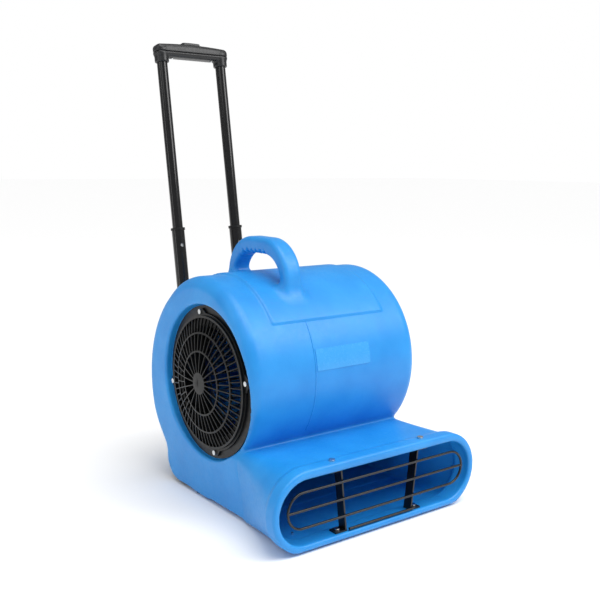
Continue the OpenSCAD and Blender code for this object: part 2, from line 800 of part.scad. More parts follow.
module grip_shell(z0, z1) trolley() difference() {
    intersection() {
        grip_solid();
        translate([-150, -50, z0]) cube([300, 100, z1 - z0]);
    }
    // room for the yoke and its travel
    translate([-tube_gap / 2 - 6, -7, grip_split]) cube([tube_gap + 12, 14, 13]);
    translate([-button_len / 2 - 0.4, -button_w / 2 - 0.4, grip_split + 1]) cube([button_len + 0.8, button_w + 0.8, 60]);
    for (s = [-1, 1]) translate([s * tube_gap / 2, 0, 0]) {
        translate([0, 0, reach - 1]) cylinder(r = rod_r, h = grip_floor - reach + 1);
        cylinder(r = 4, h = grip_split + 1);
    }
    translate([0, 0, grip_floor + 4]) cylinder(r = 6, h = 20);
    grip_screws_local();
}

module grip_upper() color(black) grip_shell(grip_split, grip_top + 10);
module grip_lower() color(black) grip_shell(reach, grip_split);

module grip_screws_local() for (s = [-1, 1])
    translate([s * 48, 0, grip_floor]) rotate([180, 0, 0]) screw(3.5, 1.8, 1.8, 26);

module grip_screws() color(steel) trolley() grip_screws_local();

module release_button() color(black) trolley() {
    translate([-button_len / 2, -button_w / 2, yoke_z + 4]) cube([button_len, button_w, grip_top + button_rise - yoke_z - 4]);
}

module release_yoke() color(steel) trolley() difference() {
    translate([-tube_gap / 2 - 5, -5, yoke_z]) cube([tube_gap + 10, 10, 4]);
    for (s = [-1, 1]) translate([s * 48, 0, yoke_z - 1]) cylinder(r = 3, h = 8);
}

module release_rods() color(steel) at_tubes() translate([0, 0, pin_z + 8]) cylinder(r = 2.5, h = yoke_z - pin_z - 8);

// Coil spring between the grip's floor and the yoke.
spring_turns = 4;
spring_r = 4.2;
spring_wire = 0.5;
spring_z0 = grip_floor + 4;
ring_steps = 16;
spring_sides = 6;

function spring_point(i, k) =
    let (a = 360 * i / ring_steps, b = 360 * k / spring_sides,
         rise = (yoke_z - spring_z0 - 2 * spring_wire) * i / (spring_turns * ring_steps),
         r = spring_r + spring_wire * cos(b))
    [r * cos(a), r * sin(a), spring_z0 + spring_wire + rise + spring_wire * sin(b)];

module button_spring() color(steel) trolley() {
    n = spring_turns * ring_steps;
    polyhedron(
        points = [for (i = [0:n], k = [0:spring_sides - 1]) spring_point(i, k)],
        faces = concat(
            [[for (k = [0:spring_sides - 1]) k]],
            [[for (k = [0:spring_sides - 1]) n * spring_sides + spring_sides - 1 - k]],
            [for (i = [0:n - 1], k = [0:spring_sides - 1])
                let (k1 = (k + 1) % spring_sides, a = i * spring_sides, b = (i + 1) * spring_sides)
                [a + k, b + k, b + k1, a + k1]]));
}

housing();
blank_label();
outlet_grille();
grille_strap_left();
grille_strap_right();
grille_screws();
inlet_ring_left();
inlet_ring_right();
inlet_guard_left();
inlet_guard_right();
guard_screws();
impeller_disc();
impeller_rings();
impeller_blades_left();
impeller_blades_right();
impeller_hub();
hub_screw();
motor_shaft();
motor_rotor();
motor_stator();
motor_can();
motor_end_inner();
motor_end_outer();
motor_bearings();
motor_arms();
motor_bolts();
capacitor();
control_plate();
switch_body();
plate_screws();
speed_knob();
cable_gland();
rubber_feet();
foot_screws();
wheel_axles();
wheel_left();
wheel_right();
tyre_left();
tyre_right();
trolley_bracket_upper();
trolley_bracket_lower();
bracket_screws();
lower_tube_left();
lower_tube_right();
tube_collars();
tube_plugs();
sliding_tube_left();
sliding_tube_right();
tube_guides();
lock_pins();
grip_upper();
grip_lower();
grip_screws();
release_button();
release_yoke();
release_rods();
button_spring();
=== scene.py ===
# %% [markdown]
# # Floor air mover
# A floor air mover is a moulded plastic body round a centrifugal fan. Air is drawn in through
# a round eye in each side and leaves low and wide at the front, along the floor. The working
# model, with every shaft, screw and joint, is loaded first as a fixed frame. This lesson then
# gives it its looks: soft moulded skins, enamelled tubes, wire and rubber.

# %% Load the frame
import json
import math

import bpy
import numpy as np
from mathutils import Matrix, Vector


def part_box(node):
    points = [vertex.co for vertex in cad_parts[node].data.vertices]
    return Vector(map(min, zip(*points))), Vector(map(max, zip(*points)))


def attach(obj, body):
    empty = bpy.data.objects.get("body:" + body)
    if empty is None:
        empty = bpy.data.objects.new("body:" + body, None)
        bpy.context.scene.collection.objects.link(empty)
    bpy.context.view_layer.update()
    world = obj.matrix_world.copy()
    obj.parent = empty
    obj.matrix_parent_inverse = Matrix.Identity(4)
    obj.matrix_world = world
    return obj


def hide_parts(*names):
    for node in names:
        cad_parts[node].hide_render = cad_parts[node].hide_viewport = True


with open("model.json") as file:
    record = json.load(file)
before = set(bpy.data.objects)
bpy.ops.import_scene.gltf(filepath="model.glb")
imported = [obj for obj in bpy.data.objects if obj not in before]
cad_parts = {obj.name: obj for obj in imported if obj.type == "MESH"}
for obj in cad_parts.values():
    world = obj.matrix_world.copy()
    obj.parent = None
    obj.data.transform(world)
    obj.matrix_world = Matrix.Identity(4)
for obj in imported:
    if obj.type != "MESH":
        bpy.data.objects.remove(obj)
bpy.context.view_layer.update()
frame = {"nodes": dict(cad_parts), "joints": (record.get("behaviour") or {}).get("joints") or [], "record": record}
nodes = frame["nodes"]
joints = {joint["name"]: joint for joint in frame["joints"]}
MM = 0.001

# %% [markdown]
# ## Colours and nodes
# Colours are written as sRGB hex values, as a paint card gives them, and Blender's shaders
# want linear light, so one function turns one into the other. A second small function adds a
# shader node with its settings and its links, which keeps every material readable as a list.

# %% Helpers for materials
def linear(hex_colour):
    channels = [int(hex_colour[i:i + 2], 16) / 255 for i in (1, 3, 5)]
    bright = [c / 12.92 if c <= 0.04045 else ((c + 0.055) / 1.055) ** 2.4 for c in channels]
    return (*bright, 1.0)


def add(tree, kind, inputs=None, **settings):
    node = tree.nodes.new(kind)
    for name, value in settings.items():
        setattr(node, name, value)
    for name, value in (inputs or {}).items():
        if isinstance(value, bpy.types.NodeSocket):
            tree.links.new(value, node.inputs[name])
        else:
            node.inputs[name].default_value = value
    return node


def new_material(name, **uniform):
    material = bpy.data.materials.new(name)
    material.use_nodes = True
    shader = material.node_tree.nodes["Principled BSDF"]
    for socket, value in uniform.items():
        shader.inputs[socket.replace("_", " ")].default_value = value
    return material, material.node_tree, shader


def per_mm(size):
    return 1 / (size * MM)


print("white is", linear("#FFFFFF")[:3])

# %% [markdown]
# ## Moulded plastics
# The body is rotationally moulded polyethylene: powder melts against the inside of a hot
# mould, so the outer skin copies the mould's blasted surface. It gives a soft, slightly waxy
# sheen with a fine orange peel, faint clouds in the pigment, and scuffs that change its gloss.
# The black parts are injection-moulded ABS or nylon. Their real grain is a few tenths of a
# millimetre, too fine to show from here, so it is drawn about three times as coarse.
# One recipe covers them all: a grain size and depth in millimetres, clouds of pigment, and
# a roughness that wanders between two values.

# %% Plastic recipe
def moulded_plastic(name, colour, pale, grain_mm, grain_depth_mm, rough, cloud_mm=60.0, wave_mm=0.0,
                    **uniform):
    material, tree, shader = new_material(name, IOR=1.5, **uniform)
    place = add(tree, "ShaderNodeTexCoord")
    where = place.outputs["Object"]
    clouds = add(tree, "ShaderNodeTexNoise", {"Vector": where, "Scale": per_mm(cloud_mm), "Detail": 5.0})
    blend = add(tree, "ShaderNodeValToRGB", {"Fac": clouds.outputs["Fac"]})
    blend.color_ramp.elements[0].position = 0.3
    blend.color_ramp.elements[0].color = linear(colour)
    blend.color_ramp.elements[1].position = 0.72
    blend.color_ramp.elements[1].color = linear(pale)
    wear = add(tree, "ShaderNodeTexNoise", {"Vector": where, "Scale": per_mm(7.0), "Detail": 8.0,
                                            "Roughness": 0.7})
    dull = add(tree, "ShaderNodeMapRange", {"Value": wear.outputs["Fac"], "From Min": 0.35, "From Max": 0.7,
                                            "To Min": rough[0], "To Max": rough[1]})
    grain = add(tree, "ShaderNodeTexNoise", {"Vector": where, "Scale": per_mm(grain_mm), "Detail": 3.0})
    bump = add(tree, "ShaderNodeBump", {"Height": grain.outputs["Fac"], "Strength": 1.0,
                                        "Distance": grain_depth_mm * MM})
    if wave_mm:
        swell = add(tree, "ShaderNodeTexNoise", {"Vector": where, "Scale": per_mm(wave_mm), "Detail": 1.0})
        bump = add(tree, "ShaderNodeBump", {"Height": swell.outputs["Fac"], "Normal": bump.outputs["Normal"],
                                            "Distance": 1.2 * MM, "Strength": 0.5})
    tree.links.new(blend.outputs["Color"], shader.inputs["Base Color"])
    tree.links.new(dull.outputs["Result"], shader.inputs["Roughness"])
    tree.links.new(bump.outputs["Normal"], shader.inputs["Normal"])
    return material


# Rotomoulded polyethylene: the pigment runs all through it, so wear changes its sheen, not its colour.
polyethylene = moulded_plastic("rotomoulded_polyethylene", "#1B87D4", "#2893DE", 3.2, 0.12, (0.34, 0.5),
                               wave_mm=45.0, Subsurface_Weight=0.08, Subsurface_Scale=0.004,
                               Specular_IOR_Level=0.45)
# Injection-moulded nylon of the guards and brackets: dry and even, with a fine spark-eroded grain.
nylon = moulded_plastic("black_moulded_nylon", "#08090A", "#0E0F10", 0.9, 0.05, (0.36, 0.5),
                        Specular_IOR_Level=0.35)
# The grip's ABS has a silkier grain, polished a little by hands.
grip_abs = moulded_plastic("black_grip_abs", "#0C0D0F", "#131517", 0.7, 0.03, (0.28, 0.42))
# The knob is polished ABS.
knob_abs = moulded_plastic("polished_black_abs", "#0B0C0D", "#101113", 1.2, 0.01, (0.14, 0.24))
# Acetal guides and the capacitor's case are plain grey mouldings.
grey_acetal = moulded_plastic("grey_acetal", "#8E9396", "#A0A4A6", 1.0, 0.02, (0.4, 0.5))
print("plastics:", polyethylene.name, nylon.name, grip_abs.name, knob_abs.name, grey_acetal.name)

# %% [markdown]
# ## The blank label
# The label is a printed film bonded to the skin. It is smoother than the plastic round it, so
# it shines more evenly, and here it is left blank.

# %% Label film
label_film = moulded_plastic("bonded_label_film", "#3096DD", "#46A4E6", 2.5, 0.01, (0.24, 0.3),
                             cloud_mm=120.0, Coat_Weight=0.15, Coat_Roughness=0.2)
print("label:", label_film.name)

# %% [markdown]
# ## Metals
# The fan wheel is galvanised sheet, whose zinc crystals show as a spangle of paler and darker
# patches. Shafts and pins are turned steel, with marks left by the tool, which are drawn
# coarser than the real ones so that they show. Screws are bright zinc. All of these are
# metals with their own colour in the reflection, so Metallic is 1 and the default IOR stays.
# Copper wire in the motor is varnished, which is glossier.

# %% Metal recipe
def bare_metal(name, dark, light, crystal_mm, rough, scratch_mm=0.5, scratch_depth_mm=0.01):
    material, tree, shader = new_material(name, Metallic=1.0)
    where = add(tree, "ShaderNodeTexCoord").outputs["Object"]
    crystal = add(tree, "ShaderNodeTexVoronoi", {"Vector": where, "Scale": per_mm(crystal_mm)})
    tint = add(tree, "ShaderNodeValToRGB", {"Fac": crystal.outputs["Color"]})
    tint.color_ramp.elements[0].color = linear(dark)
    tint.color_ramp.elements[1].color = linear(light)
    dull = add(tree, "ShaderNodeMapRange", {"Value": crystal.outputs["Color"], "To Min": rough[0],
                                            "To Max": rough[1]})
    lines = add(tree, "ShaderNodeTexNoise", {"Vector": where, "Scale": per_mm(scratch_mm), "Detail": 2.0})
    bump = add(tree, "ShaderNodeBump", {"Height": lines.outputs["Fac"], "Distance": scratch_depth_mm * MM})
    tree.links.new(tint.outputs["Color"], shader.inputs["Base Color"])
    tree.links.new(dull.outputs["Result"], shader.inputs["Roughness"])
    tree.links.new(bump.outputs["Normal"], shader.inputs["Normal"])
    return material


galvanised = bare_metal("galvanised_sheet", "#8F9498", "#C9CDD0", 9.0, (0.28, 0.45), 1.5, 0.03)
zinc_plate = bare_metal("zinc_plated_steel", "#B4B8BB", "#D6D9DB", 3.0, (0.18, 0.28))
turned_steel = bare_metal("turned_steel", "#8A8D90", "#A9ACAE", 4.0, (0.25, 0.35))
die_cast = bare_metal("die_cast_aluminium", "#9B9EA1", "#B3B6B8", 2.5, (0.4, 0.55), 1.0, 0.04)
copper_wire = bare_metal("varnished_copper_wire", "#7A3A18", "#B4622E", 1.5, (0.2, 0.3))
print("metals:", galvanised.name, zinc_plate.name, turned_steel.name, die_cast.name, copper_wire.name)

# %% [markdown]
# ## Black enamel
# Tubes, wire and straps are steel under a black stoved enamel. Enamel flows as it cures, so it
# is glossy with a very slight ripple. A dark base with a clear coat gives that deep highlight.

# %% Enamel recipe
def stoved_enamel(name, colour, base_rough, coat_rough, ripple_mm, ripple_depth_mm):
    material, tree, shader = new_material(name, IOR=1.5, Specular_IOR_Level=0.25, Coat_Weight=0.5,
                                          Coat_Roughness=coat_rough)
    where = add(tree, "ShaderNodeTexCoord").outputs["Object"]
    ripple = add(tree, "ShaderNodeTexNoise", {"Vector": where, "Scale": per_mm(ripple_mm), "Detail": 2.0})
    bump = add(tree, "ShaderNodeBump", {"Height": ripple.outputs["Fac"], "Distance": ripple_depth_mm * MM})
    dust = add(tree, "ShaderNodeTexNoise", {"Vector": where, "Scale": per_mm(12.0), "Detail": 6.0})
    film = add(tree, "ShaderNodeValToRGB", {"Fac": dust.outputs["Fac"]})
    film.color_ramp.elements[0].color = linear(colour)
    film.color_ramp.elements[1].color = linear("#101113")
    film.color_ramp.elements[1].position = 0.9
    dull = add(tree, "ShaderNodeMapRange", {"Value": dust.outputs["Fac"], "To Min": base_rough,
                                            "To Max": base_rough + 0.12})
    tree.links.new(film.outputs["Color"], shader.inputs["Base Color"])
    tree.links.new(dull.outputs["Result"], shader.inputs["Roughness"])
    tree.links.new(bump.outputs["Normal"], shader.inputs["Normal"])
    return material


tube_enamel = stoved_enamel("stoved_tube_enamel", "#050506", 0.18, 0.06, 14.0, 0.04)
wire_enamel = stoved_enamel("dipped_wire_enamel", "#08090A", 0.3, 0.2, 5.0, 0.06)
sheet_enamel = stoved_enamel("black_sheet_enamel", "#0A0B0C", 0.35, 0.3, 4.0, 0.04)
print("enamels:", tube_enamel.name, wire_enamel.name, sheet_enamel.name)

# %% [markdown]
# ## Rubber
# Feet and tyres are moulded rubber: dark grey rather than black, dry, with a coarse bloom.

# %% Rubber recipe
def moulded_rubber(name, colour, pale, grain_mm):
    return moulded_plastic(name, colour, pale, grain_mm, 0.08, (0.62, 0.85), cloud_mm=25.0,
                           Specular_IOR_Level=0.3)


foot_rubber = moulded_rubber("moulded_foot_rubber", "#151515", "#222222", 1.1)
tyre_rubber = moulded_rubber("moulded_tyre_rubber", "#191919", "#272625", 1.4)
print("rubbers:", foot_rubber.name, tyre_rubber.name)

# %% [markdown]
# ## Which finish each working part gets
# The record names a material slot for every part. A table from slot to finish covers all the
# parts at once, so a new screw or pin can't be forgotten.

# %% Finish every part of the frame
FINISH = {
    "blue_polyethylene": polyethylene, "label_film": label_film, "black_wire": wire_enamel,
    "black_steel": sheet_enamel, "zinc_screws": zinc_plate, "black_plastic": nylon,
    "black_gloss_plastic": knob_abs, "galvanised_steel": galvanised, "machined_steel": turned_steel,
    "copper_winding": copper_wire, "cast_aluminium": die_cast, "grey_plastic": grey_acetal,
    "black_rubber": foot_rubber, "wheel_tyre": tyre_rubber, "black_tube_enamel": tube_enamel,
    "grip_plastic": grip_abs,
}
slot_of = {part["node"]: part["material_slot"] for part in frame["record"]["subparts"]}
for name, part in nodes.items():
    part.data.materials.clear()
    part.data.materials.append(FINISH[slot_of[name]])
print("finished", len(nodes), "working parts in", len(set(slot_of.values())), "finishes")

# %% [markdown]
# ## Shapes as distance fields
# A moulded skin has no sharp corners: drum, duct, handle and pads flow into each other with
# soft fillets. Box modelling with subdivision could make it, but every fillet between curved
# faces would need its own loops. A distance field is simpler to reason about: for a point in
# space it says how far the surface is, in millimetres, negative inside. Two shapes join with
# a fillet in one line, and a wall is the shape minus itself moved inward.

# %% Helpers for distance fields
def joined(a, b, fillet):
    share = np.clip(0.5 + 0.5 * (b - a) / fillet, 0, 1)
    return b * (1 - share) + a * share - fillet * share * (1 - share)


def common(a, b, fillet):
    return -joined(-a, -b, fillet)


def without(a, b, fillet):
    return common(a, -b, fillet)


def rounded_pair(a, b, radius):
    """Space inside both a and b, with the edge where they meet rounded."""
    p, q = a + radius, b + radius
    return np.minimum(np.maximum(p, q), 0) + np.hypot(np.maximum(p, 0), np.maximum(q, 0)) - radius


def panel(u, v, u0, u1, v0, v1, radius):
    """A rectangle from (u0, v0) to (u1, v1) with rounded corners."""
    return rounded_pair(np.abs(u - (u0 + u1) / 2) - (u1 - u0) / 2,
                        np.abs(v - (v0 + v1) / 2) - (v1 - v0) / 2, radius)


def ease(value, low, high):
    t = np.clip((value - low) / (high - low), 0, 1)
    return t * t * (3 - 2 * t)


print("two planes 4 apart join at", float(joined(np.float32(0), np.float32(4), 8.0)))

# %% [markdown]
# ## From field to mesh
# Surface nets turn a field into quads. Every cell of a grid that the surface crosses gets one
# vertex, and every grid edge that it crosses gets one quad between the four cells round it.
# The vertices start on a rough average, and then slide along the field's slope until the
# distance is zero, so the mesh lies on the true surface. Each vertex is also drawn towards its
# neighbours and back to the surface, which evens out the quads so the grid doesn't show. It
# never leaves its own cell, so it can't jump through a thin wall to the other side.

# %% Moving vertices onto the surface
CORNERS = np.array([(i, j, k) for i in (0, 1) for j in (0, 1) for k in (0, 1)])
EDGES = [(a, b) for a in range(8) for b in range(a + 1, 8) if np.abs(CORNERS[a] - CORNERS[b]).sum() == 1]


def slide_to_surface(points, field, reach, rounds=4):
    h = 0.05
    for _ in range(rounds):
        x, y, z = points.T
        value = field(x, y, z)
        slope = np.stack([field(x + h, y, z) - field(x - h, y, z),
                          field(x, y + h, z) - field(x, y - h, z),
                          field(x, y, z + h) - field(x, y, z - h)], 1) / (2 * h)
        step = -slope * (value / np.maximum((slope ** 2).sum(1), 0.05))[:, None]
        length = np.linalg.norm(step, axis=1, keepdims=True)
        points = points + step * np.minimum(1, reach / np.maximum(length, 1e-9))
    return points


def relax(points, quads, field, corner, step):
    """Even out the spacing: move each vertex halfway to its neighbours' mean, then back to the surface."""
    for _ in range(2):
        total, links = np.zeros_like(points), np.zeros(len(points))
        for k in range(4):
            for one, other in ((k, k - 1), (k - 1, k)):
                links += np.bincount(quads[:, one], minlength=len(points))
                for axis in range(3):
                    total[:, axis] += np.bincount(quads[:, one], points[quads[:, other], axis], len(points))
        points = slide_to_surface((points + total / links[:, None]) / 2, field, 0.3 * step, 2)
        points = np.clip(points, corner, corner + step)
    return points


print("a grid cell has", len(CORNERS), "corners and", len(EDGES), "edges")


# %% Surface nets
def surface_nets(field, low, high, step):
    axes = [np.arange(a - step, b + 2 * step, step, dtype=np.float32) for a, b in zip(low, high)]
    value = field(axes[0][:, None, None], axes[1][None, :, None], axes[2][None, None, :])
    inside = value < 0
    cells = tuple(n - 1 for n in inside.shape)
    count = sum(inside[a:a + cells[0], b:b + cells[1], c:c + cells[2]].astype(np.int8) for a, b, c in CORNERS)
    active = np.argwhere((count > 0) & (count < 8))
    at = [value[tuple((active + corner).T)] for corner in CORNERS]
    total, crossings = np.zeros((len(active), 3)), np.zeros(len(active))
    for a, b in EDGES:
        crossed = (at[a] < 0) != (at[b] < 0)
        t = np.where(crossed, at[a] / np.where(crossed, at[a] - at[b], 1), 0)
        total += crossed[:, None] * (CORNERS[a] + t[:, None] * (CORNERS[b] - CORNERS[a]))
        crossings += crossed
    corner = active * step + [axis[0] for axis in axes]
    points = corner + total / crossings[:, None] * step
    number = np.full(cells, -1, np.int32)
    number[tuple(active.T)] = np.arange(len(active))
    quads = []
    for axis in range(3):
        one, other = [(1, 2), (2, 0), (0, 1)][axis]
        low_side = np.take(inside, range(inside.shape[axis] - 1), axis)
        high_side = np.take(inside, range(1, inside.shape[axis]), axis)
        edge = np.argwhere(low_side != high_side)
        leaves = low_side[tuple(edge.T)]
        ring = []
        for u, v in ((-1, -1), (0, -1), (0, 0), (-1, 0)):
            cell = edge.copy()
            cell[:, one] += u
            cell[:, other] += v
            ring.append(number[tuple(cell.T)])
        ring = np.stack(ring, 1)
        ring[~leaves] = ring[~leaves, ::-1]
        quads.append(ring)
    quads = np.concatenate(quads)
    points = np.clip(slide_to_surface(points, field, 0.5 * step, 2), corner, corner + step)
    return relax(points, quads, field, corner, step), quads


def ball(x, y, z):
    return np.sqrt(x * x + y * y + z * z) - 10


ball_points, _ = surface_nets(ball, (-10, -10, -10), (10, 10, 10), 2.0)
print("a test ball of radius 10 measures", round(float(np.linalg.norm(ball_points, axis=1).mean()), 2))


# %% From net to piece
def mesh_piece(name, points, faces, material, body, place=Matrix.Identity(4)):
    mesh = bpy.data.meshes.new(name)
    mesh.from_pydata((np.asarray(points) * MM).tolist(), [], np.asarray(faces).tolist())
    mesh.polygons.foreach_set("use_smooth", np.ones(len(mesh.polygons), bool))
    mesh.transform(place)
    mesh.materials.append(material)
    piece = bpy.data.objects.new(name, mesh)
    bpy.context.scene.collection.objects.link(piece)
    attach(piece, body)
    print(f"{name}: {len(mesh.vertices)} vertices, {len(mesh.polygons)} faces")
    return piece


def skin(name, field, low, high, step, material, body, place=Matrix.Identity(4)):
    return mesh_piece(name, *surface_nets(field, low, high, step), material, body, place)


# %% [markdown]
# ## The moulded body
# The drum is a scroll: its front half is one arc, and behind the fan axis it opens into a
# larger arc, so that the air has more room on its way round to the outlet. The base is
# straight-walled and a little narrower at the floor, which is the draft that lets the
# moulding leave its mould. All distances below are in millimetres, with y from the fan's
# axis and z from the floor, and the axis comes from the frame.

# %% Sizes of the body
AXIS = Vector(joints["impeller_spin"]["pos_m"]) / MM
body_low, body_high = (Vector(corner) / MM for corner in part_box("housing"))
LIP_HALF = body_high.x
LIP_FRONT = body_low.y - AXIS.y
LIP_TOP = 142.0
LIP_COLLAR = 26.0
UNDERSIDE = body_low.z
HALF_DRUM = 193.0
HALF_FLOOR = 180.0
FRONT_ARC = (20.0, 248.5, 175.0)
REAR_ARC = (8.0, 209.0, 213.0)
BASE_BACK = 168.0
DUCT_TOP = 131.0
WALL = 6.0
TOP_EDGE = 24.0
FLOOR_EDGE = 9.0
DRAFT_TOP = 150.0
INLET_R = 143.0
LEDGE_R = 127.0
LEDGE_DEPTH = 16.0
SEAM_X = -53.0
print("fan axis at", tuple(round(v, 1) for v in AXIS), "lip front at", round(LIP_FRONT, 1))

# %% [markdown]
# A raised plate covers the drum's top. It is the same skin pushed out by 3 mm, so it is made
# by growing the drum's arcs where the plate is, with a short ramp at its edges. The inside of
# the wall stays smooth there, so the same function also gives the drum without its plate.

# %% Side view of drum and base
PLATE_HALF = 127.6
PLATE_RISE = 3.0
PLATE_FRONT_Z = 352.5
PLATE_REAR_Z = 385.0
PLATE_RAMP = 1.6
BASE_FRONT = -122.0
HEEL_R = 45.0


def side_view(x, y, z, rise=PLATE_RISE):
    front = np.hypot(y - FRONT_ARC[0], z - FRONT_ARC[1]) - FRONT_ARC[2]
    rear = np.maximum(np.hypot(y - REAR_ARC[0], z - REAR_ARC[1]) - REAR_ARC[2], REAR_ARC[0] - y)
    edge = np.where(y < 0, PLATE_FRONT_Z, PLATE_REAR_Z)
    plate = ease(PLATE_HALF - np.abs(x), -PLATE_RAMP, PLATE_RAMP) * ease(z - edge, -PLATE_RAMP, PLATE_RAMP)
    drum = np.minimum(front, rear) - rise * plate
    corner = np.where((z < 70) & (y > 0), HEEL_R, 8.0)
    base = panel(y, z, BASE_FRONT, BASE_BACK, UNDERSIDE, DUCT_TOP, corner)
    return joined(drum, base, 9.0)


def drum_and_base(x, y, z, rise=PLATE_RISE):
    half = HALF_FLOOR + (HALF_DRUM - HALF_FLOOR) * ease(z, 0, DRAFT_TOP)
    edge_radius = FLOOR_EDGE + (TOP_EDGE - FLOOR_EDGE) * ease(z, 15, 110)
    return rounded_pair(side_view(x, y, z, rise), np.abs(x) - half, edge_radius)


print("drum's top at", REAR_ARC[1] + REAR_ARC[2], "and the whole drum", 2 * HALF_DRUM, "wide")

# %% [markdown]
# The duct runs forward and spreads into a wide lip with round ends. Each cross-section is a
# rounded rectangle whose width, height and corner radius grow towards the lip, while
# its edge on the floor stays straight. The lip itself swells out, which makes it stiff.

# %% Duct and lip
DUCT_RUN = 136.0
COLLAR_STEP = 4.5
LIP_EDGE = 3.5


def duct(x, y, z):
    flare = 1 - np.clip((y - (LIP_FRONT + LIP_COLLAR)) / DUCT_RUN, 0, 1)
    swell = ease(LIP_FRONT + LIP_COLLAR - y, -12, 6)
    draft = (HALF_DRUM - HALF_FLOOR) * (1 - flare) * (1 - ease(z, 0, DRAFT_TOP))
    half = HALF_DRUM + (LIP_HALF - COLLAR_STEP - HALF_DRUM) * flare ** 1.3 + COLLAR_STEP * swell
    top = DUCT_TOP + (LIP_TOP - COLLAR_STEP - DUCT_TOP) * flare + COLLAR_STEP * swell
    radius = TOP_EDGE + (LIP_TOP / 2 - TOP_EDGE) * flare
    on_floor = np.clip(HALF_FLOOR + 1 - (half - draft - radius), 0, radius)
    bottom = UNDERSIDE - radius + np.sqrt(radius ** 2 - on_floor ** 2)
    across = panel(x, z, draft - half, half - draft, bottom, top, radius)
    front = rounded_pair(across, LIP_FRONT - y, LIP_EDGE)
    return np.maximum(front, y - BASE_FRONT - 14)


print("lip", round(2 * LIP_HALF, 1), "wide and", LIP_TOP - round(UNDERSIDE, 1), "high")

# %% [markdown]
# ## The carry handle
# The handle is moulded with the body, in the plane where the mould's halves part. It is an
# arch of soft rectangular section, its underside has finger notches, and both legs flare
# into the drum.

# %% Carry handle
HANDLE_Y = 12.0
HANDLE_HALF = 98.0
HANDLE_TOP = body_high.z
HANDLE_BAR = 30.0
HANDLE_LEG = 22.0
HANDLE_THICK = 38.0
HANDLE_ROUND = 76.0
HANDLE_ROOT = 300.0
GAP_ROUND = 54.0
NOTCH_PITCH = 14.0
NOTCH_DEPTH = 4.5


def carry_handle(x, y, z):
    front, back = HANDLE_Y - HANDLE_HALF, HANDLE_Y + HANDLE_HALF
    outer = panel(y, z, front, back, HANDLE_ROOT, HANDLE_TOP, HANDLE_ROUND)
    wave = np.maximum(0, np.cos(2 * np.pi * (y - HANDLE_Y) / NOTCH_PITCH))
    notch = NOTCH_DEPTH * wave * ease(44 - np.abs(y - HANDLE_Y - 12), 0, 4)
    gap_top = HANDLE_TOP - HANDLE_BAR
    inner = panel(y, z - notch, front + HANDLE_LEG, back - HANDLE_LEG, HANDLE_ROOT - 10, gap_top, GAP_ROUND)
    arch = np.maximum(outer, -inner)
    return rounded_pair(arch, np.abs(x - SEAM_X) - HANDLE_THICK / 2, 9.0)


print("carry handle", 2 * HANDLE_HALF, "long, its top at", round(HANDLE_TOP, 1))

# %% [markdown]
# ## Pads, pockets and eyes
# The speed switch sits on a flat pad behind the drum's top. Each rear corner has a pocket for
# a wheel. Each side has the fan's eye: a cylindrical recess with a ledge for the guard.

# %% Control pad, wheel pockets and eyes
knob_axis = Vector(joints["knob_turn"]["axis"])
knob_at = Vector(joints["knob_turn"]["pos_m"]) / MM
wheel_at = Vector(joints["right_wheel_spin"]["pos_m"]) / MM
POCKET_HALF = 18.5
POCKET_R = 45.0


def on_pad(x, y, z):
    """Coordinates on the control pad: across, down the slope, and out."""
    dy, dz = y + AXIS.y - knob_at.y, z - knob_at.z
    return x - knob_at.x, dy * knob_axis.z - dz * knob_axis.y, dy * knob_axis.y + dz * knob_axis.z


def box(u, v, w, u1, v1, w0, w1, radius):
    thickness = np.abs(w - (w0 + w1) / 2) - (w1 - w0) / 2
    return rounded_pair(panel(u, v, -u1, u1, -v1, v1, radius), thickness, radius)


def wheel_pocket(x, y, z):
    dy, dz = y + AXIS.y - wheel_at.y, z - wheel_at.z
    round_part = np.hypot(dy, dz) - POCKET_R
    back = np.maximum(-dy, dz - POCKET_R)
    under = np.maximum(np.maximum(-POCKET_R - dy, dy - 10), dz)
    outline = np.minimum(np.minimum(round_part, back), under)
    return np.maximum(outline, np.abs(np.abs(x) - wheel_at.x) - POCKET_HALF)


print("knob at", tuple(round(v, 1) for v in knob_at), "and wheel at", tuple(round(v, 1) for v in wheel_at))

# %% [markdown]
# ## The whole moulding
# The order of the steps is the order a pattern maker would think in: the full outer form,
# then the hollow inside it, then the ledges and pocket walls that stand in the hollow, and
# last the openings. The mouth's rim stays thick, because the moulding folds back there.

# %% Make the body
LEG_FLARE = 20.0
RIM = 34.0
MOUTH_INSET = 12.0
MOUTH_TAPER = 0.35
MOUTH_FLOOR = 15.0
EYE_DEPTH = 60.0
PAD = (42, 32)
PLATE_SEAT = (38, 28)
SWITCH_HOLE = (24, 20)


def outer_form(x, y, z):
    form = np.minimum(drum_and_base(x, y, z), duct(x, y, z))
    form = joined(form, carry_handle(x, y, z), LEG_FLARE)
    u, v, w = on_pad(x, y, z)
    form = joined(form, box(u, v, w, *PAD, -14, 6, 4.0), 8.0)
    return common(form, UNDERSIDE - z, 6.0)


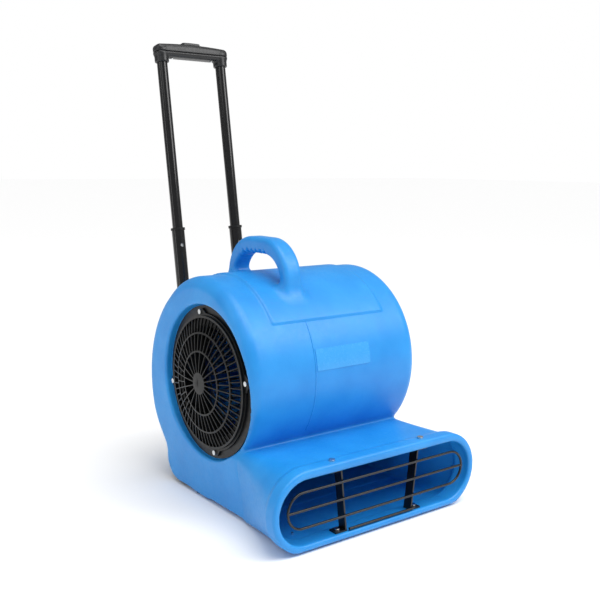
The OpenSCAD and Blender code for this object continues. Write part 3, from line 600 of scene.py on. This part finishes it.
def moulding(x, y, z):
    y = y - AXIS.y
    form = outer_form(x, y, z)
    plain = common(np.minimum(drum_and_base(x, y, z, 0), duct(x, y, z)), UNDERSIDE - z, 6.0)
    hollow = np.maximum(plain + WALL, LIP_FRONT + RIM - y)
    throat = LIP_HALF - MOUTH_INSET - MOUTH_TAPER * np.clip(y - LIP_FRONT - 12, 0, RIM)
    mouth = panel(x, z, -throat, throat, MOUTH_FLOOR, LIP_TOP - MOUTH_FLOOR, LIP_TOP / 2 - MOUTH_FLOOR - 0.5)
    mouth = np.maximum(mouth, y - LIP_FRONT - RIM - 6)
    shell = without(form, joined(hollow, mouth, 5.0), 3.0)
    eye = np.hypot(y, z - AXIS.z)
    depth = HALF_DRUM - np.abs(x)
    collar = np.maximum(eye - INLET_R - WALL, depth - LEDGE_DEPTH - WALL)
    pocket = wheel_pocket(x, y, z)
    ledges = np.maximum(np.minimum(collar, pocket - 4), plain)
    shell = np.minimum(shell, ledges)
    shell = without(shell, np.maximum(eye - INLET_R, depth - LEDGE_DEPTH), 5.0)
    shell = np.maximum(shell, -np.maximum(eye - LEDGE_R, depth - EYE_DEPTH))
    shell = without(shell, pocket, 2.0)
    u, v, w = on_pad(x, y, z)
    (seat_u, seat_v), (hole_u, hole_v) = PLATE_SEAT, SWITCH_HOLE
    seat = np.maximum(panel(u, v, -seat_u, seat_u, -seat_v, seat_v, 1.0), 3 - w)
    switch_hole = np.maximum(panel(u, v, -hole_u, hole_u, -hole_v, hole_v, 1.0), -40 - w)
    return np.maximum(shell, -np.minimum(seat, switch_hole))


body_shell = skin("body_shell", moulding, body_low, body_high, 3.0, polyethylene, "body")
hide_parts("housing")

# %% [markdown]
# ## The parting line
# Where the mould's halves met, a thin bead of plastic runs round the moulding. It is a thin
# rod half sunk in the skin, from the handle's front foot down the drum to the duct.

# %% Parting line
def bead(name, path, radius, material, body, sides=6):
    path = [Vector(p) for p in path]
    points, faces = [], []
    for i, p in enumerate(path):
        along = (path[min(i + 1, len(path) - 1)] - path[max(i - 1, 0)]).normalized()
        side = along.cross(Vector((1, 0, 0))).normalized()
        up = side.cross(along)
        taper = 0.3 if i in (0, len(path) - 1) else 1.0
        for k in range(sides):
            a = 2 * math.pi * k / sides
            points.append(p + (side * math.cos(a) + up * math.sin(a)) * radius * taper)
    for i in range(len(path) - 1):
        for k in range(sides):
            m = (k + 1) % sides
            faces.append([i * sides + k, i * sides + m, (i + 1) * sides + m, (i + 1) * sides + k])
    faces.append(list(range(sides))[::-1])
    faces.append([(len(path) - 1) * sides + k for k in range(sides)])
    mesh = bpy.data.meshes.new(name)
    mesh.from_pydata([p * MM for p in points], [], faces)
    mesh.polygons.foreach_set("use_smooth", np.ones(len(mesh.polygons), bool))
    mesh.materials.append(material)
    piece = bpy.data.objects.new(name, mesh)
    bpy.context.scene.collection.objects.link(piece)
    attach(piece, body)
    print(name, "has", len(path), "rings")
    return piece


def on_front_arc(angle, sink):
    a = math.radians(angle)
    r = FRONT_ARC[2] - sink
    return (SEAM_X - 2, AXIS.y + FRONT_ARC[0] - r * math.cos(a), FRONT_ARC[1] + r * math.sin(a))


seam_path = [on_front_arc(36 - 1.5 * i, 0.4) for i in range(48)]
parting_line = bead("parting_line", seam_path, 1.4, polyethylene, "body")

# %% [markdown]
# ## The grip
# The grip is two ABS shells closed on each other round the tubes' ends, with a fine gap
# between them. It is lower at its ends, where two bosses take the tubes, and arched on top.
# It is made in the trolley's own leaning frame and then placed.

# %% Grip shells and button
slide_axis = Vector(joints["handle_slide"]["axis"])
lean = math.atan2(slide_axis.y, slide_axis.z)
tube_low, tube_high = (Vector(corner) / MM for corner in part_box("tube_collars"))
TROLLEY_X = (tube_low.x + tube_high.x) / 2
trolley = Matrix.Translation(Vector((TROLLEY_X, AXIS.y + 297.0, 485.0)) * MM) @ Matrix.Rotation(-lean, 4, "X")
TUBE_HALF = 71.8
GRIP_FOOT = 355.0
GRIP_FLOOR = GRIP_FOOT + 11
GRIP_SPLIT = GRIP_FOOT + 22
GRIP_TOP = GRIP_FOOT + 41
ARCH_R = 943.8
BUTTON_HALF = 21.5
BUTTON_STANDS = 4.5
BUTTON_ARCH_R = 450.0
BAR_HALF = 14.5
BOSS_R = 15.0
BOSS_HEIGHT = 30.0
CHANNEL_HEIGHT = 13.0
ROD_HOLE_R = 4.0
TUBE_HOLE_R = 11.0
SHELL_GAP = 0.8


def grip_form(x, y, z):
    top = GRIP_TOP - x * x / (2 * ARCH_R)
    half = TUBE_HALF + BOSS_R
    level = z - (top - GRIP_TOP) * ease(z, GRIP_FLOOR, GRIP_TOP)
    bar = panel(x, level, -half, half, GRIP_FLOOR, GRIP_TOP, 9.0)
    bar = rounded_pair(bar, np.abs(y) - BAR_HALF, 9.0)
    from_tube = np.hypot(np.abs(x) - TUBE_HALF, y)
    boss_height = np.abs(z - GRIP_FOOT - BOSS_HEIGHT / 2) - BOSS_HEIGHT / 2
    boss = rounded_pair(from_tube - BOSS_R, boss_height, 2.0)
    form = joined(bar, boss, 3.0)
    channel = np.maximum(np.abs(x) - TUBE_HALF - 6, np.abs(y) - 7)
    hollow = np.maximum(channel, np.abs(z - GRIP_SPLIT - CHANNEL_HEIGHT / 2) - CHANNEL_HEIGHT / 2)
    form = np.maximum(form, -hollow)
    rod_hole = np.maximum(from_tube - ROD_HOLE_R, z - GRIP_SPLIT - 1)
    tube_hole = np.maximum(from_tube - TUBE_HOLE_R, z - GRIP_FLOOR)
    slot = np.maximum(panel(x, y, -BUTTON_HALF - 0.5, BUTTON_HALF + 0.5, -7.6, 7.6, 4.0), GRIP_SPLIT + 2 - z)
    return np.maximum(form, -np.minimum(np.minimum(rod_hole, tube_hole), slot))


def upper_shell(x, y, z):
    return common(grip_form(x, y, z), GRIP_SPLIT + SHELL_GAP / 2 - z, 1.5)


def lower_shell(x, y, z):
    return common(grip_form(x, y, z), z - GRIP_SPLIT + SHELL_GAP / 2, 1.5)


def button_form(x, y, z):
    outline = panel(x, y, -BUTTON_HALF, BUTTON_HALF, -7.0, 7.0, 3.8)
    crown = GRIP_TOP + BUTTON_STANDS - x * x / (2 * BUTTON_ARCH_R)
    return rounded_pair(outline, np.maximum(z - crown, GRIP_FOOT + 32 - z), 1.6)


grip_low, grip_high = (-90, -17, GRIP_FOOT - 2), (90, 17, GRIP_TOP + 3)
grip_cover = skin("grip_cover", upper_shell, grip_low, grip_high, 1.4, grip_abs, "handle", trolley)
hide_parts("grip_upper")
grip_base = skin("grip_base", lower_shell, grip_low, grip_high, 1.4, grip_abs, "handle", trolley)
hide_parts("grip_lower")
button_low, button_high = (-23, -9, GRIP_FOOT + 30), (23, 9, GRIP_TOP + 6)
push_button = skin("push_button", button_form, button_low, button_high, 0.8, grip_abs, "release", trolley)
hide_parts("release_button")

# %% [markdown]
# ## Floor, light and camera
# A pale sweep of floor and a white sky make a product shot: one wide light from above, a
# softbox high in front that draws a soft band across the drum, a weaker one on the left, and
# a tall strip that draws the long highlights down the tubes. The sky lights the scene less
# than it shows, so the shaded sides and the hollows stay deep.

# %% Floor and world
SKY_LIGHT = 0.38
bpy.ops.mesh.primitive_plane_add(size=60)
floor = bpy.context.object
floor.name = "studio_floor"
floor_material, _, floor_shader = new_material("pale_studio_floor", Roughness=0.9)
floor_shader.inputs["Base Color"].default_value = linear("#FFFFFF")
floor.data.materials.append(floor_material)
world = bpy.data.worlds.new("studio_sky")
world.use_nodes = True
sky = world.node_tree.nodes["Background"]
sky.inputs["Color"].default_value = linear("#FFFFFF")
seen = add(world.node_tree, "ShaderNodeLightPath")
glow = add(world.node_tree, "ShaderNodeMapRange", {"Value": seen.outputs["Is Camera Ray"],
                                                   "To Min": SKY_LIGHT, "To Max": 1.0})
world.node_tree.links.new(glow.outputs["Result"], sky.inputs["Strength"])
bpy.context.scene.world = world
print("floor and sky ready")


# %% Lights
def softbox(name, at, target, width, height, watts):
    light = bpy.data.lights.new(name, "AREA")
    light.shape = "RECTANGLE"
    light.size, light.size_y, light.energy = width, height, watts
    lamp = bpy.data.objects.new(name, light)
    lamp.location = at
    lamp.rotation_euler = (Vector(target) - Vector(at)).to_track_quat("-Z", "Y").to_euler()
    bpy.context.scene.collection.objects.link(lamp)
    return lamp


centre = (0.0, 0.0, 0.3)
softbox("key_softbox", (1.3, -1.7, 1.9), centre, 1.3, 1.3, 27)
softbox("side_softbox", (-1.6, -0.9, 1.9), centre, 1.0, 1.0, 4)
softbox("tube_strip", (-1.7, 0.3, 1.2), (0, 0.2, 0.6), 0.25, 2.2, 5)
sun = bpy.data.lights.new("overhead_light", "SUN")
sun.energy, sun.angle = 2.14, math.radians(50)
lamp = bpy.data.objects.new("overhead_light", sun)
lamp.rotation_euler = Vector((0.05, -0.35, 1.0)).to_track_quat("Z", "Y").to_euler()
bpy.context.scene.collection.objects.link(lamp)
print("lights ready")

# %% Camera
CAMERA_AT = Vector((-965.5, AXIS.y - 1309.9, 625.5)) * MM
CAMERA_TURN, CAMERA_TILT, CAMERA_ROLL = (math.radians(a) for a in (-37.08, 81.01, 0.52))
lens = bpy.data.cameras.new("camera")
lens.sensor_width = 36.0
lens.lens = 51.45
camera = bpy.data.objects.new("camera", lens)
turn = Matrix.Rotation(CAMERA_TURN, 4, "Z") @ Matrix.Rotation(CAMERA_TILT, 4, "X")
camera.matrix_world = Matrix.Translation(CAMERA_AT) @ turn @ Matrix.Rotation(CAMERA_ROLL, 4, "Z")
bpy.context.scene.collection.objects.link(camera)
bpy.context.scene.camera = camera
bpy.context.scene.view_settings.view_transform = "Standard"
print("camera", round((camera.location - Vector(centre)).length, 2), "m away")
